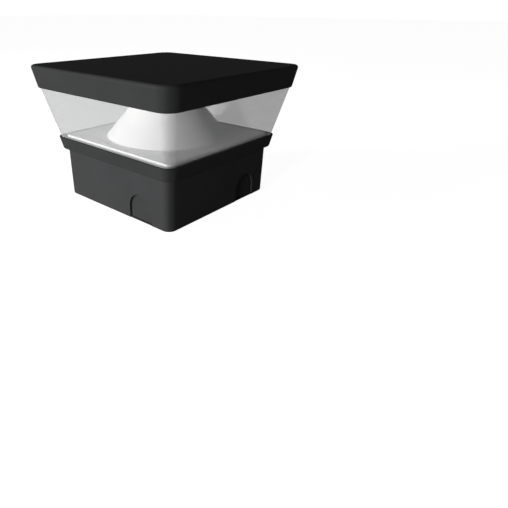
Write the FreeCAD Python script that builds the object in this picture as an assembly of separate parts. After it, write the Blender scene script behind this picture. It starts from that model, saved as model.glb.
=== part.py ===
import FreeCAD, Part

import math
import os

from FreeCAD import Vector

# Deck post cap light. Millimetres, +Z up, origin in the middle of the bottom rim.
# The -Y face is the front and the +X face is the side: both have an arched cable slot.
# A base housing is screwed to the top of a post. The head, which is everything from the collar
# up, is held together by a threaded tube up its middle and lifts off the base.

# ---------------------------------------------------------------- driving dimensions

# Post and the socket for it
POST_SIDE = 88.9
POST_PLAY = 0.8
SOCKET_CORNER_R = 2.5
SOCKET_RIM_R = 0.5
WIRING_ROOM = 10.0

# Base housing
SKIRT_WALL = 2.75
SKIRT_DRAFT = 1.4
SKIRT_CORNER_R = 5.3
DECK_THICKNESS = 3.0
SPIGOT_HEIGHT = 2.7
BOSS_SPACING = 64.0
BOSS_R = 7.0
POST_SCREW_HOLE_R = 2.5
POST_SCREW_HEAD_R = 5.0

# Cable slots and their plugs
SLOT_WIDTH = 19.0
SLOT_HEIGHT = 17.5
SLOT_TO_SKIRT_SIDE = 24.0
PLUG_SET_BACK = 1.0
PLUG_NOSE = 0.3
PLUG_LAP = 2.0
PLUG_FIT = 0.25
PLUG_BACK_GAP = 0.1
PLUG_TOE_HEIGHT = 0.8
PLUG_TOE_SET_BACK = 0.1
PLUG_TO_STOP = 2.5

# Collar tray
COLLAR_FIT = 0.3
COLLAR_OVERHANG = 2.7
COLLAR_FLARE = 11.5
COLLAR_CORNER_R = 6.5
COLLAR_LOWER_EDGE_R = 1.0
COLLAR_UPPER_EDGE_R = 0.4
SEAT_THICKNESS = 3.0
TRAY_WEB = 2.65
TRAY_POCKET_MARGIN = 5.0

# Lens and its seats
LENS_HEIGHT = 32.4
LENS_INSET = 1.2
LENS_FLARE = 13.2
LENS_WALL = 3.0
LENS_CORNER_R = 5.9
LENS_SEAT_DEPTH = 2.0
LENS_FIT = 0.15
GASKET_THICKNESS = 0.8

# Reflector
FLOOR_RISE = 0.85
PLATE_THICKNESS = 2.0
PLATE_FIT = 0.3
PLATE_EDGE_R = 0.4
CONE_BASE_R = 40.6
CONE_TOP_R = 11.4
CONE_WALL = 1.8

# Top cap
CAP_OVERHANG = 1.7
CAP_FLARE = 10.5
CAP_CORNER_R = 9.0
CAP_UPPER_EDGE_R = 2.2
CAP_LOWER_EDGE_R = 0.8
CAP_WALL = 4.5
CAP_TOP_THICKNESS = 2.5
CAP_BOSS_R = 4.5
CAP_SCREW_SPACING = 96.0

# Heat plate, LED ring and driver
HEAT_PLATE_SET_BACK = 3.3
HEAT_PLATE_THICKNESS = 2.0
HEAT_PLATE_FIT = 0.3
HEAT_PLATE_CORNER_R = 4.0
PAD_THICKNESS = 0.5
LED_BOARD_THICKNESS = 1.6
LED_BOARD_INNER_R = 17.0
LED_BOARD_OUTER_R = 38.0
LED_TO_INNER_EDGE = 9.0
LED_COUNT = 12
LED_SIDE = 3.0
LED_THICKNESS = 0.7
LED_SCREW_TO_OUTER_EDGE = 4.0
DRIVER_STAND_OFF = 1.5
STAND_OFF_R = 2.4
DRIVER_BOARD_THICKNESS = 1.2
DRIVER_BOARD_SIDE = 34.0
DRIVER_BOARD_GAP = 2.7
DRIVER_HOLE_INSET = 3.2
DRIVER_HEADROOM = 0.6
INDUCTOR_SIDE = 10.0
INDUCTOR_HEIGHT = 3.4
CAPACITOR_SIZE = (7.3, 4.3, 2.8)
CHIP_SIZE = (5.0, 4.0, 1.6)
CHIP_GAP = 4.0
LEG_SIZE = (0.4, 1.1, 0.25)
LEG_PITCH = 1.27
PIN_R = 0.5
PIN_PITCH = 3.0
PIN_X = 30.0

# Centre tube with its nuts and washer
TUBE_R = 5.0
TUBE_BORE_R = 3.5
TUBE_FIT = 0.1
TUBE_HOLE_GAP = 0.2
NUT_ACROSS_FLATS = 17.0
BOTTOM_NUT_HEIGHT = 3.0
TOP_NUT_HEIGHT = 2.5
TUBE_END = 1.0
WASHER_R = 10.0
WASHER_THICKNESS = 0.8
BUSH_FLANGE_R = 5.6
BUSH_FLANGE = 0.8
BUSH_SLEEVE = 4.0
BUSH_WALL = 0.7

# Terminal block
BLOCK_WIDTH = 20.0
BLOCK_DEPTH = 12.0
BLOCK_HEIGHT = 10.0
BLOCK_EDGE_R = 0.8
BLOCK_TO_NUT = 2.2
BLOCK_TO_DECK = 2.0
DECK_OPENING_CORNER_R = 6.0
POLE_PITCH = 11.0
SLEEVE_R = 1.9
SLEEVE_BORE_R = 1.1
SLEEVE_FIT = 0.1
CLAMP_SCREW_R = 1.2
CLAMP_SCREW_HEAD_R = 1.8
CLAMP_SCREW_HEAD = 1.0
CLAMP_SCREW_PITCH = 5.4
CLAMP_TO_WIRE = 0.1

# Leads
WIRE_R = 0.7
WIRE_SPACING = 2.2
WIRE_BEND_R = 2.2
WIRE_END_INSET = 1.5
LEAD_LANDING_GAP = 2.0
LEAD_LANDING_PITCH = 5.0

# Retaining springs
SPRING_THICKNESS = 0.5
SPRING_WIDTH = 10.0
SPRING_FOOT = 11.0
SPRING_BOW = 1.4
SPRING_DROP = 7.0
SPRING_GAP = 0.3

# Small screws: shank radius, head radius, head height
M3_SCREW = (1.5, 2.8, 1.3)
M25_SCREW = (1.25, 2.2, 1.2)
SCREW_FIT = 0.1
CAP_SCREW_BITE = 4.5
TRAY_SCREW_BITE = 2.2
RECESS_WIDTH = 0.7
RECESS_SHARE = 0.6

# ---------------------------------------------------------------- worked-out levels and widths


def rise(angle, height):
    """Sideways growth of a face that leans out by an angle over a height."""
    return height * math.tan(math.radians(angle))


socket_half = POST_SIDE / 2 + POST_PLAY
skirt_half = socket_half + SKIRT_WALL
slot_r = SLOT_WIDTH / 2
slot_offset = skirt_half - SLOT_TO_SKIRT_SIDE
slot_centre_z = SLOT_HEIGHT - slot_r
z_post_stop = SLOT_HEIGHT + PLUG_LAP + PLUG_TO_STOP
z_deck_under = z_post_stop + WIRING_ROOM
z_deck = z_deck_under + DECK_THICKNESS
z_collar = z_deck - SPIGOT_HEIGHT
z_seat = z_deck + SEAT_THICKNESS
z_lens = z_seat + GASKET_THICKNESS
z_collar_top = z_lens + LENS_SEAT_DEPTH
z_floor = z_collar_top + FLOOR_RISE
z_plateau = z_floor - PLATE_THICKNESS
z_tray_pocket = z_plateau - TRAY_WEB
z_cap = z_collar_top + LENS_HEIGHT
z_lens_top = z_cap + LENS_SEAT_DEPTH
z_shoulder = z_lens_top + GASKET_THICKNESS
z_heat_plate = z_cap + HEAT_PLATE_SET_BACK
z_heat_plate_top = z_heat_plate + HEAT_PLATE_THICKNESS
z_driver_board = z_heat_plate_top + DRIVER_STAND_OFF
z_driver_top = z_driver_board + DRIVER_BOARD_THICKNESS
z_cavity_top = z_driver_top + INDUCTOR_HEIGHT + DRIVER_HEADROOM
z_cap_top = z_cavity_top + CAP_TOP_THICKNESS
z_led_board = z_heat_plate - PAD_THICKNESS - LED_BOARD_THICKNESS
led_ring_r = LED_BOARD_INNER_R + LED_TO_INNER_EDGE
led_screw_ring_r = LED_BOARD_OUTER_R - LED_SCREW_TO_OUTER_EDGE
z_tube_bottom = z_tray_pocket - WASHER_THICKNESS - BOTTOM_NUT_HEIGHT - TUBE_END
z_tube_top = z_heat_plate_top + TOP_NUT_HEIGHT + TUBE_END

collar_half = skirt_half + rise(SKIRT_DRAFT, z_collar) + COLLAR_OVERHANG
collar_top_half = collar_half + rise(COLLAR_FLARE, z_collar_top - z_collar)
lens_half = collar_top_half - LENS_INSET
cap_half = lens_half + rise(LENS_FLARE, LENS_HEIGHT) + CAP_OVERHANG
spigot_half = skirt_half + rise(SKIRT_DRAFT, z_deck)
nut_corner_r = NUT_ACROSS_FLATS / math.sqrt(3)
tube_hole_r = TUBE_R + TUBE_HOLE_GAP
block_y = nut_corner_r + BLOCK_TO_NUT
opening_half = block_y + BLOCK_DEPTH + BLOCK_TO_DECK
z_block = z_tray_pocket - BLOCK_HEIGHT
z_pole = z_block + BLOCK_HEIGHT / 3
driver_x = nut_corner_r + DRIVER_BOARD_GAP


def lens_half_at(z):
    """Half width of the outside of the lens at a height."""
    return lens_half + rise(LENS_FLARE, z - z_collar_top)


def cap_half_at(z):
    """Half width of the outside of the cap at a height."""
    return cap_half + rise(CAP_FLARE, z - z_cap)


plateau_half = lens_half_at(z_lens) - LENS_WALL - PLATE_FIT
heat_plate_half = cap_half_at(z_heat_plate) - CAP_WALL - HEAT_PLATE_FIT

# ---------------------------------------------------------------- shape helpers

SIDES = ((1, 1), (-1, 1), (-1, -1), (1, -1))
TINY = 1e-4


def box(x, y, z):
    """Box from three (low, high) pairs."""
    corner = Vector(x[0], y[0], z[0])
    return Part.makeBox(x[1] - x[0], y[1] - y[0], z[1] - z[0], corner)


def rod(x, y, z0, z1, r):
    """Upright cylinder."""
    return Part.makeCylinder(r, z1 - z0, Vector(x, y, z0))


def washer(x, y, z0, z1, outer_r, inner_r):
    """Upright tube or ring."""
    return rod(x, y, z0, z1, outer_r).cut(rod(x, y, z0, z1, inner_r))


def square_block(z0, z1, half0, half1, corner_r):
    """Square block between two heights, wider or narrower at the top, with rounded corners."""
    low = [Vector(sx * half0, sy * half0, z0) for sx, sy in SIDES]
    high = [Vector(sx * half1, sy * half1, z1) for sx, sy in SIDES]
    loops = [low[::-1], high]
    for i in range(4):
        j = (i + 1) % 4
        loops.append([low[i], low[j], high[j], high[i]])
    faces = [Part.Face(Part.makePolygon(loop + loop[:1])) for loop in loops]
    solid = Part.makeSolid(Part.makeShell(faces))
    uprights = [e for e in solid.Edges if e.BoundBox.ZLength > (z1 - z0) / 2]
    return solid.makeFillet(corner_r, uprights)


def flared_block(z0, z1, half0, angle, corner_r):
    """Square block whose sides lean out by an angle."""
    return square_block(z0, z1, half0, half0 + rise(angle, z1 - z0), corner_r)


def round_level_edges(solid, z, radius):
    """Rounds the edges of a solid that lie level at a height."""
    level = [e for e in solid.Edges if abs(e.BoundBox.ZMin - z) < TINY and abs(e.BoundBox.ZMax - z) < TINY]
    return solid.makeFillet(radius, level)


def inner_corner(corner_r, wall):
    """Corner radius of the inside of a wall, kept above a small casting radius."""
    return max(corner_r - wall, corner_r / 4)


def square_spots(spacing):
    """The four corners of a square pattern."""
    return [(sx * spacing / 2, sy * spacing / 2) for sx, sy in SIDES]


def ring_spots(count, ring_r, first_angle):
    """Evenly spaced places on a ring: x, y and the angle in degrees."""
    spots = []
    for i in range(count):
        angle = first_angle + 360.0 * i / count
        turn = math.radians(angle)
        spots.append((ring_r * math.cos(turn), ring_r * math.sin(turn), angle))
    return spots


def drilled(solid, spots, z0, z1, r):
    """A solid with upright round holes."""
    for x, y in spots:
        solid = solid.cut(rod(x, y, z0, z1, r))
    return solid


def hexagon_nut(z0, z1, bore_r):
    """Hexagon nut about the Z axis with its outer corners chamfered."""
    points = []
    for i in range(7):
        turn = math.radians(60 * i)
        points.append(Vector(nut_corner_r * math.cos(turn), nut_corner_r * math.sin(turn), z0))
    nut = Part.Face(Part.makePolygon(points)).extrude(Vector(0, 0, z1 - z0))
    chamfer = (z1 - z0) / 6
    barrel = rod(0, 0, z0, z1, nut_corner_r)
    barrel = barrel.makeChamfer(chamfer, [e for e in barrel.Edges if e.BoundBox.ZLength < TINY])
    return nut.common(barrel).cut(rod(0, 0, z0, z1, bore_r))


def screw_up(x, y, z_seat_face, size, length):
    """Pan screw that points up, with its head under the face at that height."""
    shank_r, head_r, head_height = size
    z_head = z_seat_face - head_height
    head = rod(x, y, z_head, z_seat_face, head_r)
    head = round_level_edges(head, z_head, head_height / 2)
    reach = head_r * RECESS_SHARE
    deep = head_height * RECESS_SHARE
    half = RECESS_WIDTH / 2
    for long_x, long_y in ((reach, half), (half, reach)):
        slot = box((x - long_x, x + long_x), (y - long_y, y + long_y), (z_head, z_head + deep))
        head = head.cut(slot)
    return head.fuse(rod(x, y, z_seat_face, z_seat_face + length, shank_r))


def screw_down(x, y, z_seat_face, size, length):
    """Pan screw that points down, with its head on the face at that height."""
    screw = screw_up(x, y, z_seat_face, size, length)
    return screw.mirror(Vector(x, y, z_seat_face), Vector(0, 0, 1))


def bent_wire(points, bend_r, wire_r):
    """Round wire along straight runs joined by tangent arcs."""
    edges = []
    here = points[0]
    for before, point, after in zip(points, points[1:], points[2:]):
        arrive = (point - before).normalize()
        leave = (after - point).normalize()
        turn = arrive.getAngle(leave)
        trim = bend_r * math.tan(turn / 2)
        start = point - arrive * trim
        end = point + leave * trim
        towards = (leave - arrive).normalize()
        centre = point + towards * (bend_r / math.cos(turn / 2))
        middle = centre - towards * bend_r
        edges.append(Part.LineSegment(here, start).toShape())
        edges.append(Part.Arc(start, middle, end).toShape())
        here = end
    edges.append(Part.LineSegment(here, points[-1]).toShape())
    path = Part.Wire(edges)
    first = (points[1] - points[0]).normalize()
    section = Part.Wire([Part.Circle(points[0], first, wire_r).toShape()])
    return path.makePipeShell([section], True, True)


# ---------------------------------------------------------------- base


def arch(centre_x, r, y0, y1, bottom_z):
    """Arch on the front wall: straight sides with a half-round top, from one depth to another."""
    left = Vector(centre_x - r, y0, slot_centre_z)
    right = Vector(centre_x + r, y0, slot_centre_z)
    top = Vector(centre_x, y0, slot_centre_z + r)
    foot_left = Vector(centre_x - r, y0, bottom_z)
    foot_right = Vector(centre_x + r, y0, bottom_z)
    outline = Part.Wire([
        Part.LineSegment(foot_left, left).toShape(),
        Part.Arc(left, top, right).toShape(),
        Part.LineSegment(right, foot_right).toShape(),
        Part.LineSegment(foot_right, foot_left).toShape(),
    ])
    return Part.Face(outline).extrude(Vector(0, y1 - y0, 0))


def turned_to_side(shape):
    """The same shape on the +X face, a quarter turn round from the front."""
    turned = shape.copy()
    turned.rotate(Vector(0, 0, 0), Vector(0, 0, 1), 90)
    return turned


y_nose = -(skirt_half - PLUG_SET_BACK)
y_pocket = y_nose + PLUG_NOSE
y_plug_back = -socket_half - PLUG_BACK_GAP


def slot_cut():
    """What a cable slot takes out of the front wall: the arch and the plug's pocket behind it."""
    below = -SOCKET_RIM_R * 2
    outside = -(skirt_half + rise(SKIRT_DRAFT, SLOT_HEIGHT)) - SKIRT_WALL
    through = arch(slot_offset, slot_r, outside, -socket_half + SKIRT_WALL, below)
    pocket = arch(slot_offset, slot_r + PLUG_LAP, y_pocket, -socket_half + TINY, below)
    return through.fuse(pocket)


def slot_plug():
    """Arched plug that closes a cable slot from inside the skirt, with a toe along its foot."""
    foot = PLUG_FIT
    plate = arch(slot_offset, slot_r + PLUG_LAP - PLUG_FIT, y_pocket, y_plug_back, foot)
    nose = arch(slot_offset, slot_r - PLUG_FIT, y_nose, y_pocket, foot)
    toe_half = slot_r - PLUG_FIT
    toe = box(
        (slot_offset - toe_half, slot_offset + toe_half),
        (-(skirt_half - PLUG_TOE_SET_BACK), y_nose),
        (foot, foot + PLUG_TOE_HEIGHT),
    )
    return plate.fuse(nose).fuse(toe).removeSplitter()


def base_housing():
    """Skirt, deck and four screw bosses in one casting."""
    outer = flared_block(0, z_deck, skirt_half, SKIRT_DRAFT, SKIRT_CORNER_R)
    outer = round_level_edges(outer, 0, SOCKET_RIM_R)
    socket = square_block(-SKIRT_WALL, z_deck_under, socket_half, socket_half, SOCKET_CORNER_R)
    below = z_deck_under - TINY
    above = z_deck + TINY
    opening = square_block(below, above, opening_half, opening_half, DECK_OPENING_CORNER_R)
    housing = outer.cut(socket).cut(opening)
    spots = square_spots(BOSS_SPACING)
    for x, y in spots:
        housing = housing.fuse(rod(x, y, z_post_stop, z_deck_under, BOSS_R))
    housing = drilled(housing, spots, z_post_stop, z_deck, POST_SCREW_HOLE_R)
    sink = POST_SCREW_HEAD_R - POST_SCREW_HOLE_R
    for x, y in spots:
        head = Part.makeCone(POST_SCREW_HOLE_R, POST_SCREW_HEAD_R, sink, Vector(x, y, z_deck - sink))
        housing = housing.cut(head)
    housing = housing.cut(slot_cut()).cut(turned_to_side(slot_cut()))
    return housing.removeSplitter()


# ---------------------------------------------------------------- head: tray, reflector, lens

terminal_screw_spot = (0, block_y + BLOCK_DEPTH / 2)
spring_screw_x = opening_half - SPRING_FOOT / 2 - SPRING_BOW


def collar_tray():
    """Flared collar with the seat for the lens, and the plateau that carries the reflector."""
    tray = flared_block(z_collar, z_collar_top, collar_half, COLLAR_FLARE, COLLAR_CORNER_R)
    tray = round_level_edges(tray, z_collar, COLLAR_LOWER_EDGE_R)
    tray = round_level_edges(tray, z_collar_top, COLLAR_UPPER_EDGE_R)
    over_spigot = spigot_half + COLLAR_FIT
    socket_r = SKIRT_CORNER_R + COLLAR_FIT
    tray = tray.cut(square_block(z_collar - 1, z_deck, over_spigot, over_spigot, socket_r))
    pocket_half = plateau_half - TRAY_POCKET_MARGIN
    tray = tray.cut(square_block(z_deck - 1, z_tray_pocket, pocket_half, pocket_half, SKIRT_CORNER_R))
    seat_half = lens_half_at(z_seat) + LENS_FIT
    seat = flared_block(z_seat, z_floor, seat_half, LENS_FLARE, LENS_CORNER_R)
    plateau_r = inner_corner(LENS_CORNER_R, LENS_WALL)
    plateau = square_block(z_seat, z_plateau, plateau_half, plateau_half, plateau_r)
    tray = tray.cut(seat.cut(plateau))
    tray = drilled(tray, [(0, 0)], z_deck, z_floor, tube_hole_r)
    hole_top = z_tray_pocket + TRAY_SCREW_BITE
    spots = [terminal_screw_spot, (spring_screw_x, 0), (-spring_screw_x, 0)]
    tray = drilled(tray, spots, z_tray_pocket, hole_top, M3_SCREW[0] + SCREW_FIT)
    return tray.removeSplitter()


def lens_ring(z0, z1):
    """Square ring of the lens's own section between two heights."""
    half0 = lens_half_at(z0)
    outer = flared_block(z0, z1, half0, LENS_FLARE, LENS_CORNER_R)
    inner = flared_block(z0, z1, half0 - LENS_WALL, LENS_FLARE, inner_corner(LENS_CORNER_R, LENS_WALL))
    return outer.cut(inner)


def reflector_plate():
    """White floor inside the lens."""
    corner_r = inner_corner(LENS_CORNER_R, LENS_WALL)
    plate = square_block(z_plateau, z_floor, plateau_half, plateau_half, corner_r)
    plate = round_level_edges(plate, z_floor, PLATE_EDGE_R)
    return drilled(plate, [(0, 0)], z_plateau, z_floor, tube_hole_r)


def reflector_cone():
    """Hollow white cone with a closed top that is centred on the tube."""
    height = z_heat_plate - z_floor
    outer = Part.makeCone(CONE_BASE_R, CONE_TOP_R, height, Vector(0, 0, z_floor))
    lean = math.atan((CONE_BASE_R - CONE_TOP_R) / height)
    sideways = CONE_WALL / math.cos(lean)
    inner_height = height - CONE_WALL
    inner_top_r = CONE_TOP_R + CONE_WALL * math.tan(lean) - sideways
    inner = Part.makeCone(CONE_BASE_R - sideways, inner_top_r, inner_height, Vector(0, 0, z_floor))
    return outer.cut(inner).cut(rod(0, 0, z_floor, z_heat_plate, tube_hole_r))


# ---------------------------------------------------------------- head: cap and what it holds


def top_cap():
    """Flared lid with a seat for the lens, a hollow for the driver and four screw bosses."""
    cap = flared_block(z_cap, z_cap_top, cap_half, CAP_FLARE, CAP_CORNER_R)
    cap = round_level_edges(cap, z_cap, CAP_LOWER_EDGE_R)
    cap = round_level_edges(cap, z_cap_top, CAP_UPPER_EDGE_R)
    below = z_cap - CAP_LOWER_EDGE_R
    seat_half = lens_half_at(below) + LENS_FIT
    cap = cap.cut(flared_block(below, z_shoulder, seat_half, LENS_FLARE, LENS_CORNER_R))
    hollow_half = cap_half_at(z_shoulder) - CAP_WALL
    hollow_r = inner_corner(CAP_CORNER_R, CAP_WALL)
    hollow = flared_block(z_shoulder - TINY, z_cavity_top, hollow_half, CAP_FLARE, hollow_r)
    cap = cap.cut(hollow)
    spots = square_spots(CAP_SCREW_SPACING)
    for x, y in spots:
        cap = cap.fuse(rod(x, y, z_heat_plate_top, z_cavity_top, CAP_BOSS_R))
    hole_top = z_heat_plate_top + CAP_SCREW_BITE
    cap = drilled(cap, spots, z_heat_plate_top, hole_top, M3_SCREW[0] + SCREW_FIT)
    return cap.removeSplitter()


def led_screw_spots():
    return [(x, y) for x, y, _ in ring_spots(4, led_screw_ring_r, 45)]


def driver_hole_spots():
    """Fixing holes near the corners of the driver board."""
    near = driver_x + DRIVER_HOLE_INSET
    far = driver_x + DRIVER_BOARD_SIDE - DRIVER_HOLE_INSET
    side = DRIVER_BOARD_SIDE / 2 - DRIVER_HOLE_INSET
    return [(near, -side), (near, side), (far, -side), (far, side)]


def pin_spots():
    return [(PIN_X, -PIN_PITCH / 2), (PIN_X, PIN_PITCH / 2)]


def heat_plate():
    """Aluminium plate that closes the cap from below."""
    below = z_heat_plate
    above = z_heat_plate_top
    plate = square_block(below, above, heat_plate_half, heat_plate_half, HEAT_PLATE_CORNER_R)
    plate = drilled(plate, [(0, 0)], below, above, tube_hole_r)
    plate = drilled(plate, square_spots(CAP_SCREW_SPACING), below, above, M3_SCREW[0] + SCREW_FIT)
    plate = drilled(plate, led_screw_spots(), below, above, M3_SCREW[0] + SCREW_FIT)
    plate = drilled(plate, driver_hole_spots(), below, above, M25_SCREW[0] + SCREW_FIT)
    return drilled(plate, pin_spots(), below, above, PIN_R * 2)


def cap_screws():
    length = HEAT_PLATE_THICKNESS + CAP_SCREW_BITE - SCREW_FIT
    return [screw_up(x, y, z_heat_plate, M3_SCREW, length) for x, y in square_spots(CAP_SCREW_SPACING)]


def led_ring(z0, z1):
    """Flat ring with the LED board's outline and its screw holes."""
    ring = washer(0, 0, z0, z1, LED_BOARD_OUTER_R, LED_BOARD_INNER_R)
    return drilled(ring, led_screw_spots(), z0, z1, M3_SCREW[0] + SCREW_FIT)


def thermal_pad():
    pad = led_ring(z_heat_plate - PAD_THICKNESS, z_heat_plate)
    return drilled(pad, pin_spots(), z_heat_plate - PAD_THICKNESS, z_heat_plate, PIN_R * 2)


def led_board():
    return led_ring(z_led_board, z_led_board + LED_BOARD_THICKNESS)


def led_chips():
    """LEDs on the underside of the board, each square to its radius."""
    half = LED_SIDE / 2
    chips = []
    for x, y, angle in ring_spots(LED_COUNT, led_ring_r, 0):
        chip = box((-half, half), (-half, half), (z_led_board - LED_THICKNESS, z_led_board))
        chip.rotate(Vector(0, 0, 0), Vector(0, 0, 1), angle)
        chip.translate(Vector(x, y, 0))
        chips.append(chip)
    return chips


def led_board_screws():
    length = LED_BOARD_THICKNESS + PAD_THICKNESS + HEAT_PLATE_THICKNESS
    return [screw_up(x, y, z_led_board, M3_SCREW, length) for x, y in led_screw_spots()]


def driver_stand_offs():
    bore_r = M25_SCREW[0] + SCREW_FIT
    z0 = z_heat_plate_top
    z1 = z_driver_board
    return [washer(x, y, z0, z1, STAND_OFF_R, bore_r) for x, y in driver_hole_spots()]


def driver_board():
    side = DRIVER_BOARD_SIDE / 2
    board = box((driver_x, driver_x + DRIVER_BOARD_SIDE), (-side, side), (z_driver_board, z_driver_top))
    board = drilled(board, driver_hole_spots(), z_driver_board, z_driver_top, M25_SCREW[0] + SCREW_FIT)
    return drilled(board, pin_spots(), z_driver_board, z_driver_top, PIN_R + SCREW_FIT)


def driver_screws():
    length = DRIVER_BOARD_THICKNESS + DRIVER_STAND_OFF + HEAT_PLATE_THICKNESS
    return [screw_down(x, y, z_driver_top, M25_SCREW, length) for x, y in driver_hole_spots()]


driver_mid_x = driver_x + DRIVER_BOARD_SIDE / 2


def driver_inductor():
    """Square shielded inductor with rounded upright edges."""
    half = INDUCTOR_SIDE / 2
    body = square_block(z_driver_top, z_driver_top + INDUCTOR_HEIGHT, half, half, INDUCTOR_SIDE / 6)
    body.translate(Vector(driver_mid_x + DRIVER_BOARD_SIDE / 4, 0, 0))
    return body


def driver_capacitors():
    """Two moulded capacitors, one above the other on the board."""
    length, width, height = CAPACITOR_SIZE
    y = DRIVER_BOARD_SIDE / 2 - DRIVER_HOLE_INSET
    parts = []
    for side in (-1, 1):
        low = side * y - width / 2
        parts.append(box(
            (driver_mid_x - length / 2, driver_mid_x + length / 2),
            (low, low + width),
            (z_driver_top, z_driver_top + height),
        ))
    return parts


def driver_chips():
    """Rectifier and controller: moulded bodies with four legs on each long side."""
    length, width, height = CHIP_SIZE
    leg_width, leg_reach, leg_height = LEG_SIZE
    parts = []
    for side in (-1, 1):
        y = side * (width + CHIP_GAP) / 2
        x = driver_mid_x - length / 2
        chip = box(
            (x - length / 2, x + length / 2),
            (y - width / 2, y + width / 2),
            (z_driver_top, z_driver_top + height),
        )
        for i in range(4):
            leg_x = x + (i - 1.5) * LEG_PITCH
            chip = chip.fuse(box(
                (leg_x - leg_width / 2, leg_x + leg_width / 2),
                (y - width / 2 - leg_reach, y + width / 2 + leg_reach),
                (z_driver_top, z_driver_top + leg_height),
            ))
        parts.append(chip)
    return parts


def board_link_pins():
    """Pins that carry the current down from the driver board to the LED board."""
    z0 = z_heat_plate - PAD_THICKNESS
    z1 = z_driver_top + LEG_SIZE[2]
    return [rod(x, y, z0, z1, PIN_R) for x, y in pin_spots()]


# ---------------------------------------------------------------- head: centre tube


def centre_tube():
    return washer(0, 0, z_tube_bottom, z_tube_top, TUBE_R, TUBE_BORE_R)


def tube_top_nut():
    return hexagon_nut(z_heat_plate_top, z_heat_plate_top + TOP_NUT_HEIGHT, TUBE_R + TUBE_FIT)


def tube_bottom_washer():
    return washer(0, 0, z_tray_pocket - WASHER_THICKNESS, z_tray_pocket, WASHER_R, TUBE_R + TUBE_FIT)


def tube_bottom_nut():
    top = z_tray_pocket - WASHER_THICKNESS
    return hexagon_nut(top - BOTTOM_NUT_HEIGHT, top, TUBE_R + TUBE_FIT)


def tube_bush():
    """Flanged plastic bush in the lower mouth of the tube."""
    flange = rod(0, 0, z_tube_bottom - BUSH_FLANGE, z_tube_bottom, BUSH_FLANGE_R)
    flange = round_level_edges(flange, z_tube_bottom - BUSH_FLANGE, BUSH_FLANGE / 2)
    sleeve_r = TUBE_BORE_R - TUBE_FIT
    sleeve = rod(0, 0, z_tube_bottom, z_tube_bottom + BUSH_SLEEVE, sleeve_r)
    bore = rod(0, 0, z_tube_bottom - BUSH_FLANGE, z_tube_bottom + BUSH_SLEEVE, sleeve_r - BUSH_WALL)
    return flange.fuse(sleeve).cut(bore)


# ---------------------------------------------------------------- head: terminal block and leads


def pole_spots():
    return (-POLE_PITCH / 2, POLE_PITCH / 2)


def clamp_spots():
    """Clamping screws, two for each pole."""
    y = block_y + BLOCK_DEPTH / 2
    return [(x, y + side * CLAMP_SCREW_PITCH / 2) for x in pole_spots() for side in (-1, 1)]


def along_y(x, z, y0, y1, r):
    """Cylinder that lies along Y."""
    return Part.makeCylinder(r, y1 - y0, Vector(x, y0, z), Vector(0, 1, 0))


def terminal_block():
    """Two-pole block with a way through it for each pole."""
    half = BLOCK_WIDTH / 2
    y0 = block_y
    y1 = block_y + BLOCK_DEPTH
    block = box((-half, half), (y0, y1), (z_block, z_tray_pocket))
    block = round_level_edges(block, z_block, BLOCK_EDGE_R)
    for x in pole_spots():
        block = block.cut(along_y(x, z_pole, y0, y1, SLEEVE_R + SLEEVE_FIT))
    block = drilled(block, clamp_spots(), z_block, z_pole, CLAMP_SCREW_HEAD_R + SCREW_FIT)
    x, y = terminal_screw_spot
    z_head = z_block + M3_SCREW[2]
    block = drilled(block, [(x, y)], z_block, z_head, M3_SCREW[1] + SCREW_FIT)
    return drilled(block, [(x, y)], z_head, z_tray_pocket, M3_SCREW[0] + SCREW_FIT)


def terminal_sleeves():
    """Brass sleeves that the wires are clamped in."""
    sleeves = []
    for x in pole_spots():
        y0 = block_y + SLEEVE_FIT
        y1 = block_y + BLOCK_DEPTH - SLEEVE_FIT
        sleeve = along_y(x, z_pole, y0, y1, SLEEVE_R).cut(along_y(x, z_pole, y0, y1, SLEEVE_BORE_R))
        sleeves.append(drilled(sleeve, clamp_spots(), z_block, z_pole, CLAMP_SCREW_R + SCREW_FIT))
    return sleeves


def terminal_screws():
    """Slotted clamping screws, turned from below."""
    screws = []
    tip = z_pole - WIRE_R - CLAMP_TO_WIRE
    z_head = z_pole - SLEEVE_R - CLAMP_SCREW_HEAD
    for x, y in clamp_spots():
        head = rod(x, y, z_head, z_head + CLAMP_SCREW_HEAD, CLAMP_SCREW_HEAD_R)
        slot_half = CLAMP_SCREW_HEAD / 4
        slot = box(
            (x - CLAMP_SCREW_HEAD_R, x + CLAMP_SCREW_HEAD_R),
            (y - slot_half, y + slot_half),
            (z_head, z_head + CLAMP_SCREW_HEAD / 2),
        )
        screws.append(head.cut(slot).fuse(rod(x, y, z_head + CLAMP_SCREW_HEAD / 2, tip, CLAMP_SCREW_R)))
    return screws


def terminal_fixing_screw():
    x, y = terminal_screw_spot
    z_head = z_block + M3_SCREW[2]
    length = z_tray_pocket - z_head + TRAY_SCREW_BITE - SCREW_FIT
    return screw_up(x, y, z_head, M3_SCREW, length)


def lead(side):
    """One wire from the driver board, down the tube with a quarter turn, to its pole of the block."""
    apart = side * WIRE_SPACING / 2
    landing_x = driver_x + LEAD_LANDING_GAP
    z_over = (z_tube_top + z_cavity_top) / 2
    pole_x = side * POLE_PITCH / 2
    points = [
        Vector(landing_x, side * LEAD_LANDING_PITCH / 2, z_driver_top),
        Vector(landing_x, side * LEAD_LANDING_PITCH / 2, z_over),
        Vector(0, apart, z_over),
        Vector(apart, 0, z_pole),
        Vector(pole_x, block_y - WIRE_BEND_R, z_pole),
        Vector(pole_x, block_y + BLOCK_DEPTH / 2 - WIRE_END_INSET, z_pole),
    ]
    return bent_wire(points, WIRE_BEND_R, WIRE_R)


# ---------------------------------------------------------------- head: retaining springs


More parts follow.
